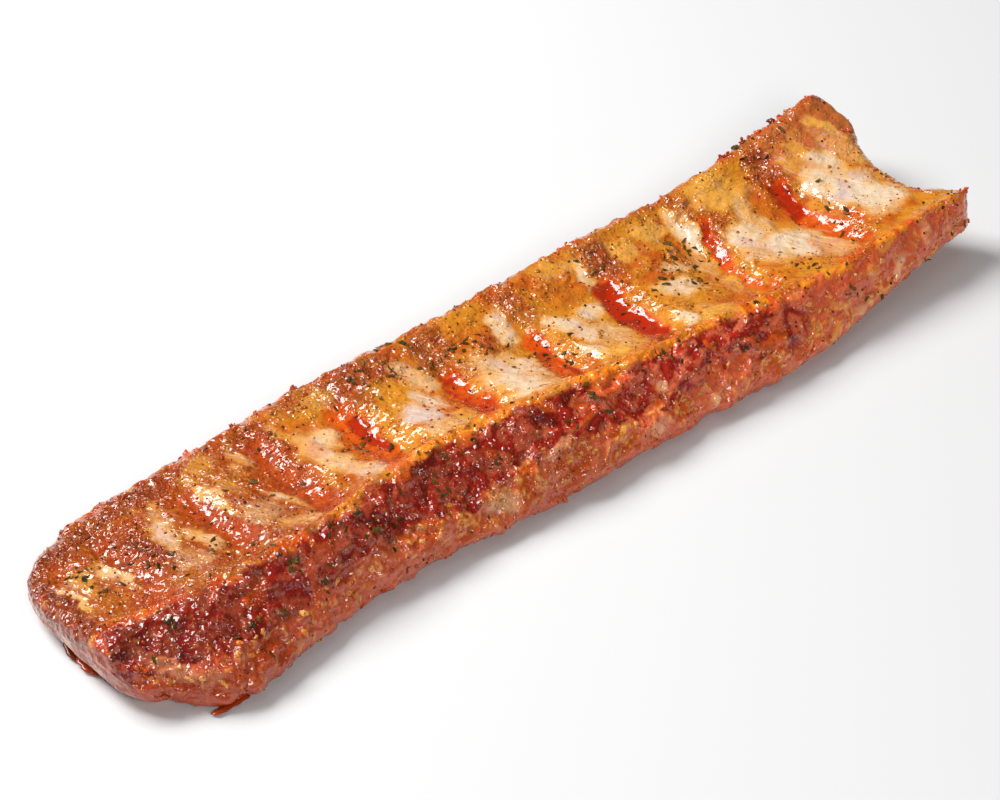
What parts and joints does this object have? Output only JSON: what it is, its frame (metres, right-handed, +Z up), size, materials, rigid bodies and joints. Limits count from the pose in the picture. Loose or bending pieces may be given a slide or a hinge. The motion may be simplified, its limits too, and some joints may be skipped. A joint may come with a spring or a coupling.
{
  "type": "rack of ribs",
  "caption": "Raw marinated rack of pork loin ribs lying bone side up: a long meaty slab with a rib and a valley in turn across its hollow top, and one end curled up.",
  "frame": {"origin": "middle of the box that holds the rack, on the table", "axes": "+X along the rack, from its thick rounded end to its curled end; +Y across it, from the thick cut flank to the thinner back edge; +Z up, out of the bone side"},
  "size_m": [0.3858, 0.1004, 0.0326],
  "materials": {
    "marinated_meat": "wet, glossy marinade over raw meat and bone membrane"
  },
  "bodies": {
    "root": {"rack": "marinated_meat"}
  },
  "joints": []
}
